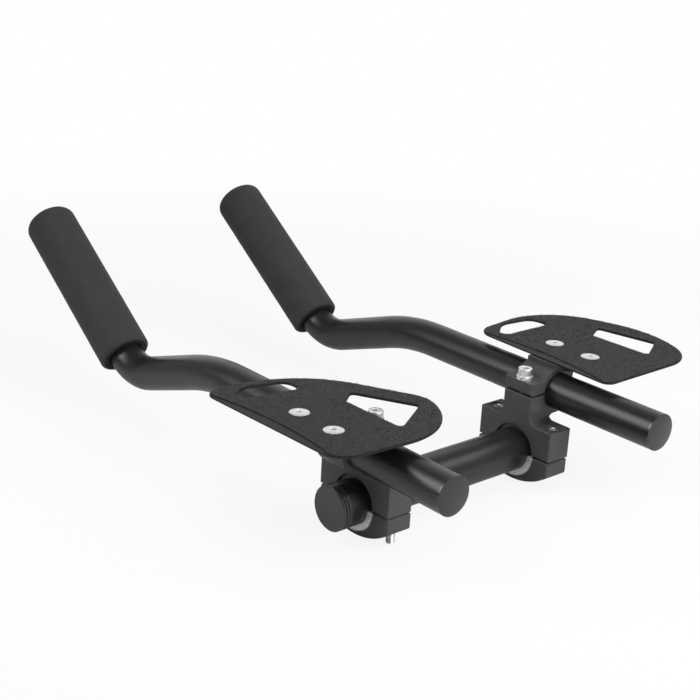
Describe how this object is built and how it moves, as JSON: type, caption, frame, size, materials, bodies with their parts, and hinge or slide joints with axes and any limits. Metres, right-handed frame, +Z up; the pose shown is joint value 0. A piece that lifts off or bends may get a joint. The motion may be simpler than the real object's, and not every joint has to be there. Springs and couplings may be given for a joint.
{
  "type": "bicycle aero bar set",
  "caption": "Aero bar set with a short cross bar, two bent extension tubes with foam grips, pinch clamps and armrest plates.",
  "frame": {"origin": "on the cross bar's axis, midway between the two clamps, where a stem grips it", "axes": "+X along the cross bar to the rider's right, +Y forward, +Z up"},
  "size_m": [0.2975, 0.4248, 0.1167],
  "materials": {
    "anodised_tube": "satin black anodised",
    "anodised_clamp": "bead blasted black anodised",
    "bare_aluminium": "machined",
    "plated_steel": "zinc plated",
    "moulded_plug": "moulded black",
    "foam": "closed cell foam",
    "coated_plate": "black powder coat",
    "loop_fabric": "black loop pile"
  },
  "bodies": {
    "root": {"cross_bar": "anodised_tube", "left_bar_plug": "moulded_plug", "left_clamp_body": "anodised_clamp", "left_clamp_cap": "anodised_clamp", "left_upper_shim": "anodised_clamp", "left_lower_shim": "bare_aluminium", "left_clamp_bolts": "plated_steel", "left_pinch_washer": "plated_steel", "left_pinch_bolt": "plated_steel", "left_extension_tube": "anodised_tube", "left_tube_plug": "moulded_plug", "left_foam_grip": "foam", "left_armrest_plate": "coated_plate", "left_armrest_facing": "loop_fabric", "left_armrest_screws": "plated_steel", "right_bar_plug": "moulded_plug", "right_clamp_body": "anodised_clamp", "right_clamp_cap": "anodised_clamp", "right_upper_shim": "anodised_clamp", "right_lower_shim": "bare_aluminium", "right_clamp_bolts": "plated_steel", "right_pinch_washer": "plated_steel", "right_pinch_bolt": "plated_steel", "right_extension_tube": "anodised_tube", "right_tube_plug": "moulded_plug", "right_foam_grip": "foam", "right_armrest_plate": "coated_plate", "right_armrest_facing": "loop_fabric", "right_armrest_screws": "plated_steel"}
  },
  "joints": []
}
